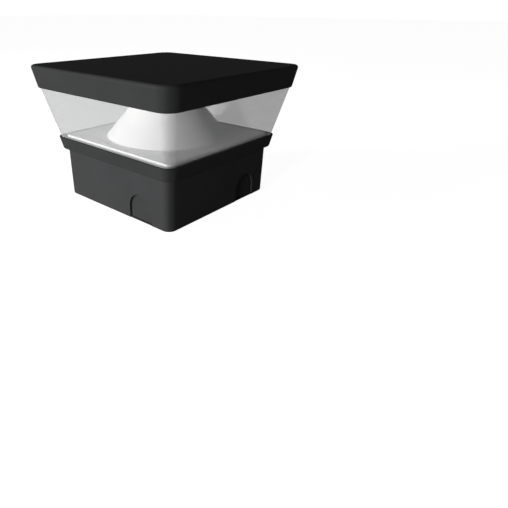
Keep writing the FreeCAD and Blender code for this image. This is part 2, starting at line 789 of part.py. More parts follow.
def retaining_spring():
    """Leaf spring under the tray whose bow bears on the edge of the deck's opening."""
    t = SPRING_THICKNESS
    bow_x = opening_half - SPRING_GAP
    leg_x = bow_x - SPRING_BOW
    z_bow = z_deck - DECK_THICKNESS / 2
    z_end = z_tray_pocket - SPRING_DROP
    outer = [
        Vector(leg_x - SPRING_FOOT + t, 0, z_tray_pocket),
        Vector(leg_x, 0, z_tray_pocket),
        Vector(bow_x, 0, z_bow),
        Vector(leg_x, 0, z_end),
    ]
    inner = [
        Vector(leg_x - t, 0, z_end),
        Vector(bow_x - t, 0, z_bow),
        Vector(leg_x - t, 0, z_tray_pocket - t),
        Vector(leg_x - SPRING_FOOT + t, 0, z_tray_pocket - t),
    ]
    outline = outer + inner
    strip = Part.Face(Part.makePolygon(outline + outline[:1])).extrude(Vector(0, SPRING_WIDTH, 0))
    strip.translate(Vector(0, -SPRING_WIDTH / 2, 0))
    return drilled(strip, [(spring_screw_x, 0)], z_tray_pocket - t, z_tray_pocket, M3_SCREW[0] + SCREW_FIT)


def mirrored_x(shape):
    return shape.mirror(Vector(0, 0, 0), Vector(1, 0, 0))


def retaining_springs():
    return [retaining_spring(), mirrored_x(retaining_spring())]


def spring_screws():
    length = SPRING_THICKNESS + TRAY_SCREW_BITE - SCREW_FIT
    z_under = z_tray_pocket - SPRING_THICKNESS
    return [screw_up(side * spring_screw_x, 0, z_under, M3_SCREW, length) for side in (1, -1)]


# ---------------------------------------------------------------- all the pieces

PIECES = {
    "base_housing": base_housing,
    "front_slot_plug": slot_plug,
    "side_slot_plug": lambda: turned_to_side(slot_plug()),
    "collar_tray": collar_tray,
    "lower_gasket": lambda: lens_ring(z_seat, z_lens),
    "lens": lambda: lens_ring(z_lens, z_lens_top),
    "upper_gasket": lambda: lens_ring(z_lens_top, z_shoulder),
    "reflector_plate": reflector_plate,
    "reflector_cone": reflector_cone,
    "top_cap": top_cap,
    "heat_plate": heat_plate,
    "cap_screws": cap_screws,
    "thermal_pad": thermal_pad,
    "led_board": led_board,
    "led_chips": led_chips,
    "led_board_screws": led_board_screws,
    "driver_stand_offs": driver_stand_offs,
    "driver_board": driver_board,
    "driver_inductor": driver_inductor,
    "driver_capacitors": driver_capacitors,
    "driver_chips": driver_chips,
    "driver_screws": driver_screws,
    "board_link_pins": board_link_pins,
    "centre_tube": centre_tube,
    "tube_top_nut": tube_top_nut,
    "tube_bottom_washer": tube_bottom_washer,
    "tube_bottom_nut": tube_bottom_nut,
    "tube_bush": tube_bush,
    "terminal_block": terminal_block,
    "terminal_sleeves": terminal_sleeves,
    "terminal_screws": terminal_screws,
    "terminal_fixing_screw": terminal_fixing_screw,
    "red_lead": lambda: lead(1),
    "black_lead": lambda: lead(-1),
    "retaining_springs": retaining_springs,
    "spring_screws": spring_screws,
}


def main():
    os.makedirs("parts", exist_ok=True)
    for name, make in PIECES.items():
        made = make()
        shape = Part.makeCompound(made) if isinstance(made, list) else made
        if not shape.isValid():
            raise ValueError(name + " is not a valid shape")
        shape.exportStep("parts/" + name + ".step")
        box_size = shape.BoundBox
        print("%-22s solids %2d  volume %9.1f  x %6.2f %6.2f  y %6.2f %6.2f  z %6.2f %6.2f" % (
            name, len(shape.Solids), shape.Volume,
            box_size.XMin, box_size.XMax, box_size.YMin, box_size.YMax, box_size.ZMin, box_size.ZMax,
        ))


main()
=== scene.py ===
import math

import bmesh
import bpy
from mathutils import Matrix, Vector


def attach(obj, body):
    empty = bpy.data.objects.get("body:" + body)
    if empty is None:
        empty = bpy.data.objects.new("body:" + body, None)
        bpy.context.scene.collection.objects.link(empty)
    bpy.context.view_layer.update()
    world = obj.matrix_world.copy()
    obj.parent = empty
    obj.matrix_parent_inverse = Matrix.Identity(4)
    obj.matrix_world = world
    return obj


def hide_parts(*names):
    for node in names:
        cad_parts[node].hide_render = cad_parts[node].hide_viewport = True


# Deck post cap light, in metres, in the frame of the packed model: +Z up, origin in the middle of
# the bottom rim. The -Y face is the front and the +X face is the side.
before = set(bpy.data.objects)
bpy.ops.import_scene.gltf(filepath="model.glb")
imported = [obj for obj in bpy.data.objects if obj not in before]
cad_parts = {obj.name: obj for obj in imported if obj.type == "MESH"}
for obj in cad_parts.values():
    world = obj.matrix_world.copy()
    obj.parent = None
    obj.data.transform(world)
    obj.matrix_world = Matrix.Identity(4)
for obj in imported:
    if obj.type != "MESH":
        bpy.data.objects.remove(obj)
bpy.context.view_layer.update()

bl_info = {
    "name": "Deck post cap light",
    "version": (1, 0, 0),
    "blender": (4, 5, 0),
    "location": "View3D > Sidebar > Post light",
    "description": "Builds and finishes a deck post cap light piece by piece",
    "category": "Object",
}

MM = 0.001
SAME_PLACE = 1e-6
SHARP_EDGE = math.radians(32)
PAST = 2 * MM  # How far a cut runs past the faces that it goes through
BITE = 1 * MM  # How far a boss reaches into the plate that carries it
OVERLAP = 0.2 * MM  # How far the parts of a plug reach into each other
TINY = 0.01 * MM  # Keeps the ends of two cuts off one plane
SINK_PAST = 0.05 * MM  # How far a countersink runs past the face that it sinks into
LED_COUNT = 12

# Painted shade: the cap and collar coat is darkened to stand in for the shade on their outward-leaning
# sides
HEAD_PAINTED_SHADE = 0.82  # Tone of the head's castings against the base
PATCH_SHADE = 0.88  # Tone of the darker patches against the main tone
PATCH_SPAN = (0.3, 0.7)  # Values of the patch noise that go from one tone to the other
ROUGH_SPAN = (0.7, 1.3)  # Sum of both noises, from the smoothest to the roughest
LENS_COVER = (0.5, 0.8)  # How much the lens covers, square on and edge on
LENS_TURN = 5.0  # How late the cover grows as the lens turns away

FLOOR_HALF = 6.0
FLOOR_DROP = 0.05 * MM  # Keeps the floor just clear of the bottom rim
FLOOR_GLOW = 0.95
LIGHTS_AIM = (0.0, 0.0, 0.045)
KEY_PLACE, KEY_SIDE = (-0.56, -0.82, 0.165), 0.25
EDGE_PLACE, EDGE_SIDE = (0.19, -1.0, 0.1), 0.12
IMAGE_PIXELS = 508
FOCAL_PIXELS = 459.9
SENSOR_WIDTH = 36.0
CLIP_START = 0.01


# ---------------------------------------------------------------- sizes, colours and stage settings


def length(name, description, millimetres):
    """A length property whose default is given in millimetres."""
    return bpy.props.FloatProperty(
        name=name, description=description, default=millimetres * MM, min=0.0, unit="LENGTH", precision=5
    )


def angle(name, description, degrees):
    """An angle property whose default is given in degrees."""
    return bpy.props.FloatProperty(
        name=name, description=description, default=math.radians(degrees), subtype="ANGLE"
    )


def colour(name, description, default):
    """A colour property."""
    return bpy.props.FloatVectorProperty(
        name=name, description=description, default=default, subtype="COLOR", size=3, min=0.0, max=1.0
    )


class PostLightBaseSizes(bpy.types.PropertyGroup):
    """Sizes of the base housing and its cable slots"""

    skirt: length("Skirt half width", "Half the width of the skirt at its bottom edge", 48.0)
    skirt_top: length("Spigot half width", "Half the width of the base at the top of its deck", 48.855)
    corner: length("Skirt corner", "Radius of the skirt's upright corners", 5.3)
    rim_round: length("Rim rounding", "Radius of the skirt's bottom edge", 0.5)
    socket: length("Socket half width", "Half the width of the socket for the post", 45.25)
    socket_corner: length("Socket corner", "Radius of the socket's corners", 2.5)
    deck_under: length("Deck underside", "Height of the underside of the deck", 32.0)
    deck: length("Deck", "Height of the top of the deck", 35.0)
    opening: length("Deck opening", "Half the width of the square opening in the deck", 26.01)
    opening_corner: length("Opening corner", "Radius of the deck opening's corners", 6.0)
    boss_place: length("Boss place", "Distance of the screw bosses from both centre lines", 32.0)
    boss: length("Boss radius", "Radius of the screw bosses", 7.0)
    boss_foot: length("Boss foot", "Height of the face that rests on the post", 22.0)
    screw_hole: length("Screw hole", "Radius of the holes for the post screws", 2.5)
    screw_sink: length("Screw sink", "Radius of the countersinks for the post screws", 5.0)
    slot_place: length("Slot place", "Distance of a cable slot from the middle of its face", 24.0)
    slot: length("Slot radius", "Radius of the arched top of a cable slot", 9.5)
    slot_centre: length("Slot centre", "Height of the centre of the slot's arch", 8.0)
    plug_lap: length("Plug lap", "How far the plug's plate laps behind the skirt", 2.0)
    plug_fit: length("Plug fit", "Gap round the plug", 0.25)
    plug_face: length("Plug face", "Distance of the plug's face from the middle of the light", 47.0)
    plug_step: length("Plug step", "Distance of the plug's plate from the middle of the light", 46.7)
    plug_round: length("Plug rounding", "Radius of the edge of the plug's face", 0.12)
    toe_face: length("Toe face", "Distance of the toe's face from the middle of the light", 47.9)
    toe_height: length("Toe height", "Height of the toe along the plug's foot", 0.8)
    toe_round: length("Toe rounding", "Radius of the edge of the toe's face", 0.15)
    plug_back: length("Plug back", "Distance of the plug's back from the middle of the light", 45.35)


class PostLightHeadSizes(bpy.types.PropertyGroup):
    """Sizes of the collar, the lens, the reflector and the cap"""

    collar_foot: length("Collar foot", "Height of the collar's lower edge", 32.3)
    collar_top: length("Collar top", "Height of the collar's upper edge", 40.8)
    collar: length("Collar half width", "Half the width of the collar at its lower edge", 51.492)
    collar_wide: length("Collar top half width", "Half the width of the collar at its upper edge", 53.221)
    collar_corner: length("Collar corner", "Radius of the collar's corners", 6.5)
    collar_round: length("Collar lower rounding", "Radius of the collar's lower edge", 1.0)
    collar_crisp: length("Collar upper rounding", "Radius of the collar's upper edge", 0.4)
    spigot_room: length("Spigot room", "Half the width of the collar's socket for the base", 49.155)
    pocket: length("Tray pocket", "Half the width of the pocket under the tray", 43.25)
    pocket_top: length("Pocket ceiling", "Height of the ceiling of the pocket", 37.0)
    seat: length("Lens seat", "Height of the seat for the lens", 38.0)
    plateau: length("Plateau", "Height of the plateau that carries the reflector", 39.65)
    plateau_half: length("Plateau half width", "Half the width of the plateau", 48.25)
    lens_foot: length("Lens foot", "Height of the bottom of the lens", 38.8)
    lens_top: length("Lens top", "Height of the top of the lens", 75.2)
    lens: length("Lens half width", "Half the width of the lens at its bottom", 51.552)
    lens_wide: length("Lens top half width", "Half the width of the lens at its top", 60.089)
    lens_corner: length("Lens corner", "Radius of the lens's corners", 5.9)
    lens_wall: length("Lens wall", "Wall thickness of the lens", 3.0)
    lens_fit: length("Lens fit", "Gap round the lens in its seats", 0.15)
    floor: length("Reflector floor", "Height of the white floor inside the lens", 41.65)
    plate_round: length("Reflector rounding", "Radius of the edge of the white floor", 0.4)
    cone: length("Cone foot radius", "Radius of the reflector cone at the floor", 40.6)
    cone_top: length("Cone top radius", "Radius of the reflector cone at its top", 11.4)
    cone_wall: length("Cone wall", "Wall thickness of the reflector cone", 1.8)
    tube_hole: length("Tube hole", "Radius of the holes for the centre tube", 5.2)
    plate_under: length("Heat plate", "Height of the underside of the heat plate", 76.5)
    cap_foot: length("Cap foot", "Height of the cap's lower edge", 73.2)
    cap_top: length("Cap top", "Height of the top of the cap", 87.7)
    cap: length("Cap half width", "Half the width of the cap at its lower edge", 61.319)
    cap_wide: length("Cap top half width", "Half the width of the cap at its top, before rounding", 64.007)
    cap_corner: length("Cap corner", "Radius of the cap's corners", 9.0)
    cap_round: length("Cap upper rounding", "Radius of the cap's upper edge", 2.2)
    cap_crisp: length("Cap lower rounding", "Radius of the cap's lower edge", 0.8)
    shoulder: length("Cap shoulder", "Height of the shoulder over the upper gasket", 76.0)
    hollow: length("Cap hollow", "Half the width of the cap's hollow at the shoulder", 57.338)
    hollow_wide: length("Cap hollow top", "Half the width of the cap's hollow at its ceiling", 59.04)
    hollow_top: length("Cap ceiling", "Height of the ceiling of the cap's hollow", 85.2)
    cap_boss_place: length("Cap boss place", "Distance of the cap's bosses from both centre lines", 48.0)
    cap_boss: length("Cap boss radius", "Radius of the cap's screw bosses", 4.5)
    cap_boss_foot: length("Cap boss foot", "Height of the lower ends of the cap's bosses", 78.5)
    led_ring: length("LED ring", "Radius of the ring that the LEDs sit on", 26.0)
    led_side: length("LED side", "Width of an LED package", 3.0)
    led_face: length("LED face", "Height of the emitting faces of the LEDs", 73.7)
    led_back: length("LED back", "Height of the backs of the LEDs", 74.4)
    led_rim: length("LED rim", "Width of the rim round an LED's window", 0.35)
    led_dish: length("LED dish", "Depth and slope width of an LED's window", 0.12)


class PostLightColours(bpy.types.PropertyGroup):
    """Colours of the finishes"""

    casting: colour("Black coat", "Powder coat on the housing, collar and cap", (0.044, 0.0445, 0.0455))
    plug: colour("Plug", "Moulded plugs in the cable slots", (0.042, 0.0425, 0.043))
    glass: colour("Lens", "Grey cast of the clear lens", (0.41, 0.415, 0.415))
    reflector: colour("Reflector", "White cone and floor", (0.86, 0.86, 0.85))
    floor: colour("Floor", "Pale floor under the light", (0.45, 0.45, 0.45))


class PostLightStage(bpy.types.PropertyGroup):
    """Light, floor and camera"""

    key_power: bpy.props.FloatProperty(
        name="Key light",
        description="Power of the soft light from the left",
        default=10.5,
        min=0.0,
        unit="POWER",
    )
    edge_power: bpy.props.FloatProperty(
        name="Edge light",
        description="Power of the light that skims the side face",
        default=6.0,
        min=0.0,
        unit="POWER",
    )
    surround: bpy.props.FloatProperty(
        name="Surroundings",
        description="Strength of the even light from all round",
        default=0.05,
        min=0.0,
    )
    azimuth: angle("Azimuth", "Camera's angle round from the front", 44.787)
    elevation: angle("Elevation", "Camera's angle above level", 17.172)
    distance: length("Distance", "Distance of the camera from the middle of the light", 318.34)
    aim: length("Aim", "Height of the point that the camera looks past", 28.54)
    yaw: angle("Yaw", "Sideways turn of the camera", 3.431)
    pitch: angle("Pitch", "Downward turn of the camera", 2.017)
    roll: angle("Roll", "Lean of the camera", -0.588)
    shift_x: bpy.props.FloatProperty(
        name="Shift X", description="Sideways shift of the view", default=0.115
    )
    shift_y: bpy.props.FloatProperty(
        name="Shift Y", description="Upward shift of the view", default=-0.17
    )


# ---------------------------------------------------------------- shape helpers


def rounded(bm, edges, radius, steps):
    """Rounds edges with a radius, in a number of steps."""
    bmesh.ops.bevel(
        bm,
        geom=list(edges),
        offset=radius,
        offset_type="OFFSET",
        segments=steps,
        profile=0.5,
        affect="EDGES",
        clamp_overlap=False,
        material=-1,
    )


def level_edges(bm, z):
    """The edges that lie level at a height."""
    return [e for e in bm.edges if all(abs(v.co.z - z) < SAME_PLACE for v in e.verts)]


def level_faces(bm, z):
    """The faces that lie level at a height."""
    return [f for f in bm.faces if all(abs(v.co.z - z) < SAME_PLACE for v in f.verts)]


def level_face(bm, z):
    """The largest face that lies level at a height."""
    return max(level_faces(bm, z), key=lambda f: f.calc_area())


def level_face_inside(bm, z):
    """The level face that has the most corners: what an inset leaves in the middle."""
    return max(level_faces(bm, z), key=lambda f: len(f.verts))


def reach(face):
    """How far a face reaches from the middle along X."""
    return max(abs(v.co.x) for v in face.verts)


def square_block(z0, z1, half0, half1, corner, steps=12):
    """Square block between two heights, wider or narrower at the top, with rounded corners."""
    bm = bmesh.new()
    for v in bmesh.ops.create_cube(bm, size=2.0)["verts"]:
        upper = v.co.z > 0
        half = half1 if upper else half0
        v.co = Vector((v.co.x * half, v.co.y * half, z1 if upper else z0))
    uprights = [e for e in bm.edges if abs(e.verts[0].co.z - e.verts[1].co.z) > (z1 - z0) / 2]
    rounded(bm, uprights, corner, steps)
    return bm


def stepped(bm, z, inset, z_to, half_to):
    """Sets a level face in by a margin, then pushes it to another height and half width."""
    face = level_face(bm, z)
    bmesh.ops.inset_region(bm, faces=[face], thickness=inset, use_even_offset=True)
    face = level_face_inside(bm, z)
    pushed = bmesh.ops.extrude_discrete_faces(bm, faces=[face])["faces"][0]
    verts = list(pushed.verts)
    wider = half_to / reach(pushed)
    bmesh.ops.scale(bm, vec=(wider, wider, 1.0), verts=verts)
    bmesh.ops.translate(bm, vec=(0.0, 0.0, z_to - z), verts=verts)


def rod(x, y, z0, z1, r0, r1=None, steps=48):
    """Upright cylinder or cone between two heights."""
    bm = bmesh.new()
    middle = Matrix.Translation((x, y, (z0 + z1) / 2))
    bmesh.ops.create_cone(
        bm,
        cap_ends=True,
        segments=steps,
        radius1=r0,
        radius2=r0 if r1 is None else r1,
        depth=z1 - z0,
        matrix=middle,
    )
    return bm


def facing_edges(bm, y):
    """The edges that lie in an upright plane that faces the front."""
    return [e for e in bm.edges if all(abs(v.co.y - y) < SAME_PLACE for v in e.verts)]


def arch(centre_x, centre_z, radius, foot, y0, y1, steps=64):
    """Arched block in the front wall: straight sides, half-round top, from one depth to another."""
    bm = bmesh.new()
    upright = Matrix.Translation((centre_x, y0, centre_z)) @ Matrix.Rotation(math.pi / 2, 4, "X")
    bmesh.ops.create_circle(bm, cap_ends=True, segments=steps, radius=radius, matrix=upright)
    everything = list(bm.verts) + list(bm.edges) + list(bm.faces)
    bmesh.ops.bisect_plane(
        bm, geom=everything, plane_co=(centre_x, y0, centre_z), plane_no=(0, 0, -1), clear_outer=True
    )
    spring_line = level_edges(bm, centre_z)
    grown = bmesh.ops.extrude_edge_only(bm, edges=spring_line)["geom"]
    feet = [v for v in grown if isinstance(v, bmesh.types.BMVert)]
    bmesh.ops.translate(bm, vec=(0, 0, foot - centre_z), verts=feet)
    bmesh.ops.dissolve_faces(bm, faces=list(bm.faces))
    grown = bmesh.ops.extrude_face_region(bm, geom=list(bm.faces))["geom"]
    far = [v for v in grown if isinstance(v, bmesh.types.BMVert)]
    bmesh.ops.translate(bm, vec=(0, y1 - y0, 0), verts=far)
    bmesh.ops.recalc_face_normals(bm, faces=list(bm.faces))
    return bm


def turned_to_side(bm):
    """Turns a shape on the front face a quarter turn, to the +X face."""
    quarter = Matrix.Rotation(math.pi / 2, 3, "Z")
    bmesh.ops.rotate(bm, cent=(0, 0, 0), matrix=quarter, verts=list(bm.verts))
    return bm


def left_in_front(bm):
    """Leaves a shape on the front face."""
    return bm


def four_spots(place):
    """Four places at one distance from both centre lines."""
    return [(x * place, y * place) for x in (-1, 1) for y in (-1, 1)]


def joined(bm, other):
    """Adds another shape's faces to this one."""
    mesh = bpy.data.meshes.new("other")
    other.to_mesh(mesh)
    other.free()
    bm.from_mesh(mesh)
    bpy.data.meshes.remove(mesh)
    return bm


def worked(bm, tools, operation="DIFFERENCE"):
    """The shape with the tools' solids cut out of it, or joined to it."""
    objects = []
    for i, shape in enumerate([bm] + list(tools)):
        mesh = bpy.data.meshes.new("blank")
        shape.to_mesh(mesh)
        shape.free()
        objects.append(bpy.data.objects.new("blank", mesh))
        bpy.context.scene.collection.objects.link(objects[i])
    for tool in objects[1:]:
        cut = objects[0].modifiers.new("Cut", "BOOLEAN")
        cut.operation = operation
        cut.solver = "EXACT"
        cut.object = tool
    evaluated = objects[0].evaluated_get(bpy.context.evaluated_depsgraph_get())
    mesh = bpy.data.meshes.new_from_object(evaluated)
    result = bmesh.new()
    result.from_mesh(mesh)
    bpy.data.meshes.remove(mesh)
    for o in objects:
        blank = o.data
        bpy.data.objects.remove(o)
        bpy.data.meshes.remove(blank)
    return result


def piece(bm, name, materials, body, nodes):
    """Makes the shape an object that rides on a body and stands for some nodes of the frame."""
    bmesh.ops.remove_doubles(bm, verts=list(bm.verts), dist=SAME_PLACE)
    bmesh.ops.recalc_face_normals(bm, faces=list(bm.faces))
    for face in bm.faces:
        face.smooth = True
    for edge in bm.edges:
        edge.smooth = edge.calc_face_angle(0.0) < SHARP_EDGE
    mesh = bpy.data.meshes.new(name)
    bm.to_mesh(mesh)
    bm.free()
    for material in materials:
        mesh.materials.append(material)
    obj = bpy.data.objects.new(name, mesh)
    bpy.context.scene.collection.objects.link(obj)
    even = obj.modifiers.new("Even shading", "WEIGHTED_NORMAL")
    even.keep_sharp = True
    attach(obj, body)
    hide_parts(*nodes)
    return obj


# ---------------------------------------------------------------- material helpers


def socket(tree, name, kind, direction, default=None):
    """Adds a named socket to a node group."""
    made = tree.interface.new_socket(name=name, in_out=direction, socket_type=kind)
    if default is not None:
        made.default_value = default


def node(tree, kind, **values):
    """Adds a node and sets its properties or, for names of inputs, their values."""
    made = tree.nodes.new(kind)
    for key, value in values.items():
        if hasattr(made, key):
            setattr(made, key, value)
        else:
            made.inputs[key.replace("_", " ")].default_value = value
    return made


def grain_group():
    """Fine grain with slow changes of tone, for coats and mouldings. Built once."""
    name = "Surface grain"
    if name in bpy.data.node_groups:
        return bpy.data.node_groups[name]
    tree = bpy.data.node_groups.new(name, "ShaderNodeTree")
    socket(tree, "Tone A", "NodeSocketColor", "INPUT", (0.8, 0.8, 0.8, 1))
    socket(tree, "Tone B", "NodeSocketColor", "INPUT", (0.7, 0.7, 0.7, 1))
    socket(tree, "Patch Scale", "NodeSocketFloat", "INPUT", 60.0)
    socket(tree, "Grain Scale", "NodeSocketFloat", "INPUT", 1500.0)
    socket(tree, "Smoothest", "NodeSocketFloat", "INPUT", 0.4)
    socket(tree, "Roughest", "NodeSocketFloat", "INPUT", 0.6)
    socket(tree, "Colour", "NodeSocketColor", "OUTPUT")
    socket(tree, "Roughness", "NodeSocketFloat", "OUTPUT")
    socket(tree, "Height", "NodeSocketFloat", "OUTPUT")
    link = tree.links.new
    given = node(tree, "NodeGroupInput")
    out = node(tree, "NodeGroupOutput")
    place = node(tree, "ShaderNodeTexCoord")
    patches = node(tree, "ShaderNodeTexNoise", Detail=4.0)
    grain = node(tree, "ShaderNodeTexNoise", Detail=2.0)
    tones = node(tree, "ShaderNodeMix", data_type="RGBA")
    spread = node(tree, "ShaderNodeMapRange", From_Min=PATCH_SPAN[0], From_Max=PATCH_SPAN[1])
    both = node(tree, "ShaderNodeMath", operation="ADD")
    rough = node(tree, "ShaderNodeMapRange", From_Min=ROUGH_SPAN[0], From_Max=ROUGH_SPAN[1])
    for texture, scale in ((patches, "Patch Scale"), (grain, "Grain Scale")):
        link(place.outputs["Object"], texture.inputs["Vector"])
        link(given.outputs[scale], texture.inputs["Scale"])
    link(patches.outputs["Fac"], spread.inputs["Value"])
    link(spread.outputs["Result"], tones.inputs["Factor"])
    link(given.outputs["Tone A"], tones.inputs["A"])
    link(given.outputs["Tone B"], tones.inputs["B"])
    link(patches.outputs["Fac"], both.inputs[0])
    link(grain.outputs["Fac"], both.inputs[1])
    link(both.outputs["Value"], rough.inputs["Value"])
    link(given.outputs["Smoothest"], rough.inputs["To Min"])
    link(given.outputs["Roughest"], rough.inputs["To Max"])
    link(tones.outputs["Result"], out.inputs["Colour"])
    link(rough.outputs["Result"], out.inputs["Roughness"])
    link(grain.outputs["Fac"], out.inputs["Height"])
    return tree


def rgba(c):
    """A colour with full cover."""
    return (c[0], c[1], c[2], 1.0)


def grained(
    name, tone, other_tone=None, shade=PATCH_SHADE, *, patch, grain, rough, bump, depth, **settings
):
    """Material whose tone, roughness and bump come from the grain group.

    The other tone is that of the patches, and without one they take the tone times the shade. The
    scales of the patches and the grain come next, then the range of roughness, and the strength and
    depth in mm of the bump. Whatever else is given goes to the shader's inputs.
    """
    if name in bpy.data.materials:
        return bpy.data.materials[name]
    made = bpy.data.materials.new(name)
    made.use_nodes = True
    tree = made.node_tree
    shader = tree.nodes["Principled BSDF"]
    group = node(tree, "ShaderNodeGroup")
    group.node_tree = grain_group()
    for key, value in {
        "Tone A": rgba(tone),
        "Tone B": rgba(other_tone or tuple(c * shade for c in tone)),
        "Patch Scale": patch,
        "Grain Scale": grain,
        "Smoothest": rough[0],
        "Roughest": rough[1],
    }.items():
        group.inputs[key].default_value = value
    relief = node(tree, "ShaderNodeBump", Strength=bump, Distance=depth * MM)
    tree.links.new(group.outputs["Colour"], shader.inputs["Base Color"])
    tree.links.new(group.outputs["Roughness"], shader.inputs["Roughness"])
    tree.links.new(group.outputs["Height"], relief.inputs["Height"])
    tree.links.new(relief.outputs["Normal"], shader.inputs["Normal"])
    for key, value in settings.items():
        shader.inputs[key.replace("_", " ")].default_value = value
    return made


FINISHES = {
    "Zinc plate": dict(
        tone=(0.56, 0.57, 0.58), other_tone=(0.49, 0.5, 0.51), patch=400.0, grain=3000.0,
        rough=(0.24, 0.4), bump=0.15, depth=0.03, Metallic=1.0,
    ),
    "Spring steel": dict(
        tone=(0.5, 0.5, 0.5), other_tone=(0.44, 0.44, 0.45), patch=150.0, grain=2500.0,
        rough=(0.2, 0.32), bump=0.1, depth=0.02, Metallic=1.0,
    ),
    "Brass": dict(
        tone=(0.78, 0.57, 0.28), other_tone=(0.66, 0.46, 0.21), patch=300.0, grain=2500.0,
        rough=(0.22, 0.38), bump=0.15, depth=0.03, Metallic=1.0,
    ),
    "Milled aluminium": dict(
        tone=(0.68, 0.69, 0.7), other_tone=(0.6, 0.61, 0.62), patch=120.0, grain=2200.0,
        rough=(0.3, 0.45), bump=0.15, depth=0.03, Metallic=1.0,
    ),
    "White nylon": dict(
        tone=(0.66, 0.65, 0.61), patch=90.0, grain=1600.0, rough=(0.4, 0.55), bump=0.15, depth=0.03
    ),
    "Silicone": dict(
        tone=(0.16, 0.16, 0.165), patch=90.0, grain=1500.0, rough=(0.55, 0.75), bump=0.2, depth=0.04
    ),
    "Thermal pad": dict(
        tone=(0.3, 0.33, 0.38), patch=150.0, grain=2000.0, rough=(0.6, 0.8), bump=0.3, depth=0.05
    ),
    "White board mask": dict(
        tone=(0.74, 0.75, 0.74), other_tone=(0.7, 0.71, 0.7), patch=500.0, grain=2500.0,
        rough=(0.28, 0.4), bump=0.08, depth=0.02,
    ),
    "Green board mask": dict(
        tone=(0.03, 0.19, 0.07), other_tone=(0.02, 0.14, 0.05), patch=700.0, grain=3000.0,
        rough=(0.25, 0.4), bump=0.1, depth=0.02,
    ),
    "LED package": dict(
        tone=(0.78, 0.78, 0.75), patch=200.0, grain=3000.0, rough=(0.35, 0.45), bump=0.05, depth=0.02
    ),
    "LED phosphor": dict(
        tone=(0.8, 0.62, 0.16), other_tone=(0.74, 0.55, 0.12), patch=900.0, grain=5000.0,
        rough=(0.3, 0.4), bump=0.1, depth=0.02,
    ),
    "Chip moulding": dict(
        tone=(0.022, 0.022, 0.024), patch=300.0, grain=4000.0, rough=(0.45, 0.65), bump=0.3, depth=0.02
    ),
    "Ferrite": dict(
        tone=(0.06, 0.06, 0.065), patch=300.0, grain=3500.0, rough=(0.5, 0.7), bump=0.4, depth=0.03
    ),
    "Capacitor moulding": dict(
        tone=(0.62, 0.36, 0.05), patch=300.0, grain=3500.0, rough=(0.35, 0.5), bump=0.2, depth=0.02
    ),
    "Red insulation": dict(
        tone=(0.5, 0.02, 0.018), patch=200.0, grain=2500.0, rough=(0.35, 0.5), bump=0.1, depth=0.02
    ),
    "Black insulation": dict(
        tone=(0.02, 0.02, 0.021), patch=200.0, grain=2500.0, rough=(0.35, 0.5), bump=0.1, depth=0.02
    ),
}


def finish(name):
    """A finish of the small pieces, by its name."""
    return grained(name, **FINISHES[name])


def black_coat(context, name="Black powder coat", part=1.0):
    """Powder coat of the castings, which may be a part of the full tone; that darker part is painted
    shade.
    """
    tone = tuple(c * part for c in context.scene.post_light_colours.casting)
    return grained(
        name, tone, shade=0.9, patch=45.0, grain=1400.0, rough=(0.52, 0.66), bump=0.35, depth=0.06,
        Specular_IOR_Level=0.0, Coat_Weight=0.02, Coat_Roughness=0.3,
    )


def head_coat_with_painted_shade(context):
    """Powder coat of the head's castings, darker than the base as painted shade for their outward-leaning,
    downward-facing sides.
    """
    return black_coat(context, "Black powder coat on the head with painted shade", HEAD_PAINTED_SHADE)


def black_moulding(context):
    """Moulded plastic of the plugs."""
    return grained(
        "Black moulding", context.scene.post_light_colours.plug, patch=80.0, grain=2200.0,
        rough=(0.45, 0.6), bump=0.3, depth=0.04,
        Specular_IOR_Level=0.0, Coat_Weight=0.02, Coat_Roughness=0.3,
    )


def white_reflector(context):
    """White moulding of the reflector's floor and cone."""
    return grained(
        "White reflector", context.scene.post_light_colours.reflector, shade=0.985, patch=30.0,
        grain=1800.0, rough=(0.42, 0.52), bump=0.12, depth=0.03, Specular_IOR_Level=0.35,
    )


def lens_inside(context):
    """Inner face of the lens, which adds almost nothing to the cast of the outer one."""
    return grained(
        "Clear lens inside", context.scene.post_light_colours.glass, patch=25.0, grain=300.0,
        rough=(0.05, 0.09), bump=0.03, depth=0.02, Specular_IOR_Level=0.12, Alpha=0.03,
    )


def clear_lens(context):
    """Outer face of the clear lens, with a grey cast that is denser at a slant."""
    made = grained(
        "Clear lens", context.scene.post_light_colours.glass, shade=0.97, patch=25.0, grain=300.0,
        rough=(0.05, 0.09), bump=0.03, depth=0.02, Specular_IOR_Level=0.12,
    )
    tree = made.node_tree
    facing = node(tree, "ShaderNodeLayerWeight", Blend=0.5)
    steep = node(tree, "ShaderNodeMath", operation="POWER")
    steep.inputs[1].default_value = LENS_TURN
    cover = node(tree, "ShaderNodeMapRange", To_Min=LENS_COVER[0], To_Max=LENS_COVER[1])
    tree.links.new(facing.outputs["Facing"], steep.inputs[0])
    tree.links.new(steep.outputs["Value"], cover.inputs["Value"])
    tree.links.new(cover.outputs["Result"], tree.nodes["Principled BSDF"].inputs["Alpha"])
    return made


def dressed(finish_name, *names):
    """Gives nodes that are shown as they were packed a finish."""
    for name in names:
        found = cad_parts[name]
        if not found.material_slots:
            raise RuntimeError(name + " has no material slot to fill")
        for place in found.material_slots:
            place.material = finish(finish_name)


# ---------------------------------------------------------------- pieces


def lens_room(s, z):
    """Half the width of the room for the lens at a height, which follows the lens's flare."""
    flare = (s.lens_wide - s.lens) / (s.lens_top - s.lens_foot)
    return s.lens + flare * (z - s.lens_foot) + s.lens_fit


